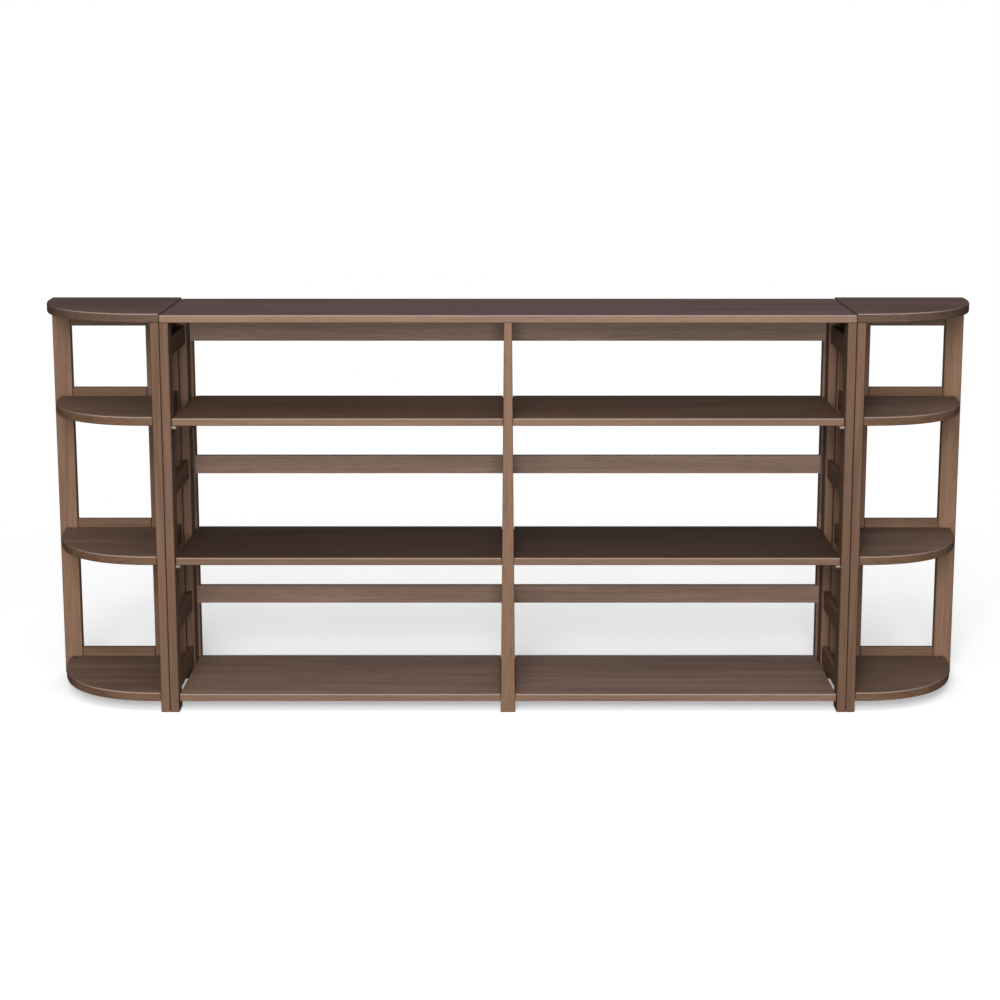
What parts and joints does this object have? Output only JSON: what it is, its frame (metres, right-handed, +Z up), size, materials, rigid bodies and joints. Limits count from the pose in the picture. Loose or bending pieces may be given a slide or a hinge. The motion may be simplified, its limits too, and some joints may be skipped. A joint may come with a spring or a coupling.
{
  "type": "folding bookcase",
  "caption": "Wide folding bookcase between quarter-round corner bookcases: open ladder-frame sides, railed back, and shelves and tops that flip up on rear pivots.",
  "frame": {"origin": "on the floor under the middle of the whole set", "axes": "+X along the set to the viewer's right, +Y from the front to the back, +Z up"},
  "size_m": [2.0366, 0.305, 0.867],
  "materials": {
    "walnut": "dark brown stain under satin lacquer",
    "steel": "bright nickel plate"
  },
  "bodies": {
    "frame": {"back_rail_base": "walnut", "back_rail_middle": "walnut", "back_rail_upper": "walnut", "back_stile_left": "walnut", "back_stile_middle": "walnut", "back_stile_right": "walnut", "divider_frame": "walnut", "side_left_frame": "walnut", "side_right_frame": "walnut", "rest_dowel_middle": "walnut", "rest_dowel_upper": "walnut", "divider_hinge": "steel", "side_left_hinge": "steel", "side_right_hinge": "steel", "top_hinge_frame_leaf": "steel", "rest_pin_middle_left": "steel", "rest_pin_upper_left": "steel", "rest_pin_middle_right": "steel", "rest_pin_upper_right": "steel", "shelf_pivot_base_left": "steel", "shelf_pivot_base_middle": "steel", "shelf_pivot_base_right": "steel", "shelf_pivot_middle_left": "steel", "shelf_pivot_middle_middle": "steel", "shelf_pivot_middle_right": "steel", "shelf_pivot_upper_left": "steel", "shelf_pivot_upper_middle": "steel", "shelf_pivot_upper_right": "steel"},
    "corner_left": {"corner_left_back_frame": "walnut", "corner_left_side_frame": "walnut", "corner_left_side_hinge": "steel", "corner_left_top_hinge_frame_leaf": "steel", "corner_left_pivot_base": "steel", "corner_left_pivot_middle": "steel", "corner_left_pivot_upper": "steel"},
    "corner_right": {"corner_right_back_frame": "walnut", "corner_right_side_frame": "walnut", "corner_right_side_hinge": "steel", "corner_right_top_hinge_frame_leaf": "steel", "corner_right_pivot_base": "steel", "corner_right_pivot_middle": "steel", "corner_right_pivot_upper": "steel"},
    "top": {"top_panel": "walnut", "top_hinge_lid_leaf": "steel"},
    "shelf_base_left": {"shelf_base_left": "walnut"},
    "shelf_base_right": {"shelf_base_right": "walnut"},
    "shelf_middle_left": {"shelf_middle_left": "walnut"},
    "shelf_middle_right": {"shelf_middle_right": "walnut"},
    "shelf_upper_left": {"shelf_upper_left": "walnut"},
    "shelf_upper_right": {"shelf_upper_right": "walnut"},
    "corner_left_top": {"corner_left_top": "walnut", "corner_left_top_hinge_lid_leaf": "steel"},
    "corner_left_shelf_base": {"corner_left_shelf_base": "walnut"},
    "corner_left_shelf_middle": {"corner_left_shelf_middle": "walnut"},
    "corner_left_shelf_upper": {"corner_left_shelf_upper": "walnut"},
    "corner_right_top": {"corner_right_top": "walnut", "corner_right_top_hinge_lid_leaf": "steel"},
    "corner_right_shelf_base": {"corner_right_shelf_base": "walnut"},
    "corner_right_shelf_middle": {"corner_right_shelf_middle": "walnut"},
    "corner_right_shelf_upper": {"corner_right_shelf_upper": "walnut"}
  },
  "joints": [
    {"name": "top_flip", "type": "hinge", "parent": "frame", "child": "top", "pos_m": [0, 0.1495, 0.848], "axis": [-1, 0, 0], "range_deg": [0, 90]},
    {"name": "corner_left_pull", "type": "slide", "parent": "frame", "child": "corner_left", "axis": [-1, 0, 0], "range_m": [0, 0.35]},
    {"name": "corner_right_pull", "type": "slide", "parent": "frame", "child": "corner_right", "axis": [1, 0, 0], "range_m": [0, 0.35]},
    {"name": "shelf_base_left_flip", "type": "hinge", "parent": "frame", "child": "shelf_base_left", "pos_m": [0, 0.1094, 0.0315], "axis": [-1, 0, 0], "range_deg": [0, 90]},
    {"name": "shelf_base_right_flip", "type": "hinge", "parent": "frame", "child": "shelf_base_right", "pos_m": [0, 0.1094, 0.0315], "axis": [-1, 0, 0], "range_deg": [0, 90]},
    {"name": "shelf_middle_left_flip", "type": "hinge", "parent": "frame", "child": "shelf_middle_left", "pos_m": [0, 0.1094, 0.3339], "axis": [-1, 0, 0], "range_deg": [0, 90]},
    {"name": "shelf_middle_right_flip", "type": "hinge", "parent": "frame", "child": "shelf_middle_right", "pos_m": [0, 0.1094, 0.3339], "axis": [-1, 0, 0], "range_deg": [0, 90]},
    {"name": "shelf_upper_left_flip", "type": "hinge", "parent": "frame", "child": "shelf_upper_left", "pos_m": [0, 0.1094, 0.6363], "axis": [-1, 0, 0], "range_deg": [0, 90]},
    {"name": "shelf_upper_right_flip", "type": "hinge", "parent": "frame", "child": "shelf_upper_right", "pos_m": [0, 0.1094, 0.6363], "axis": [-1, 0, 0], "range_deg": [0, 90]},
    {"name": "corner_left_top_flip", "type": "hinge", "parent": "corner_left", "child": "corner_left_top", "pos_m": [0, 0.1495, 0.848], "axis": [-1, 0, 0], "range_deg": [0, 90]},
    {"name": "corner_left_shelf_base_flip", "type": "hinge", "parent": "corner_left", "child": "corner_left_shelf_base", "pos_m": [0, 0.1094, 0.033], "axis": [-1, 0, 0], "range_deg": [0, 90]},
    {"name": "corner_left_shelf_middle_flip", "type": "hinge", "parent": "corner_left", "child": "corner_left_shelf_middle", "pos_m": [0, 0.1094, 0.3354], "axis": [-1, 0, 0], "range_deg": [0, 90]},
    {"name": "corner_left_shelf_upper_flip", "type": "hinge", "parent": "corner_left", "child": "corner_left_shelf_upper", "pos_m": [0, 0.1094, 0.6378], "axis": [-1, 0, 0], "range_deg": [0, 90]},
    {"name": "corner_right_top_flip", "type": "hinge", "parent": "corner_right", "child": "corner_right_top", "pos_m": [0, 0.1495, 0.848], "axis": [-1, 0, 0], "range_deg": [0, 90]},
    {"name": "corner_right_shelf_base_flip", "type": "hinge", "parent": "corner_right", "child": "corner_right_shelf_base", "pos_m": [0, 0.1094, 0.033], "axis": [-1, 0, 0], "range_deg": [0, 90]},
    {"name": "corner_right_shelf_middle_flip", "type": "hinge", "parent": "corner_right", "child": "corner_right_shelf_middle", "pos_m": [0, 0.1094, 0.3354], "axis": [-1, 0, 0], "range_deg": [0, 90]},
    {"name": "corner_right_shelf_upper_flip", "type": "hinge", "parent": "corner_right", "child": "corner_right_shelf_upper", "pos_m": [0, 0.1094, 0.6378], "axis": [-1, 0, 0], "range_deg": [0, 90]}
  ],
  "couplings": [
    {"joint": "shelf_upper_left_flip", "follows": "top_flip", "ratio": 1},
    {"joint": "shelf_upper_right_flip", "follows": "top_flip", "ratio": 1},
    {"joint": "corner_left_shelf_upper_flip", "follows": "corner_left_top_flip", "ratio": 1},
    {"joint": "corner_right_shelf_upper_flip", "follows": "corner_right_top_flip", "ratio": 1}
  ]
}
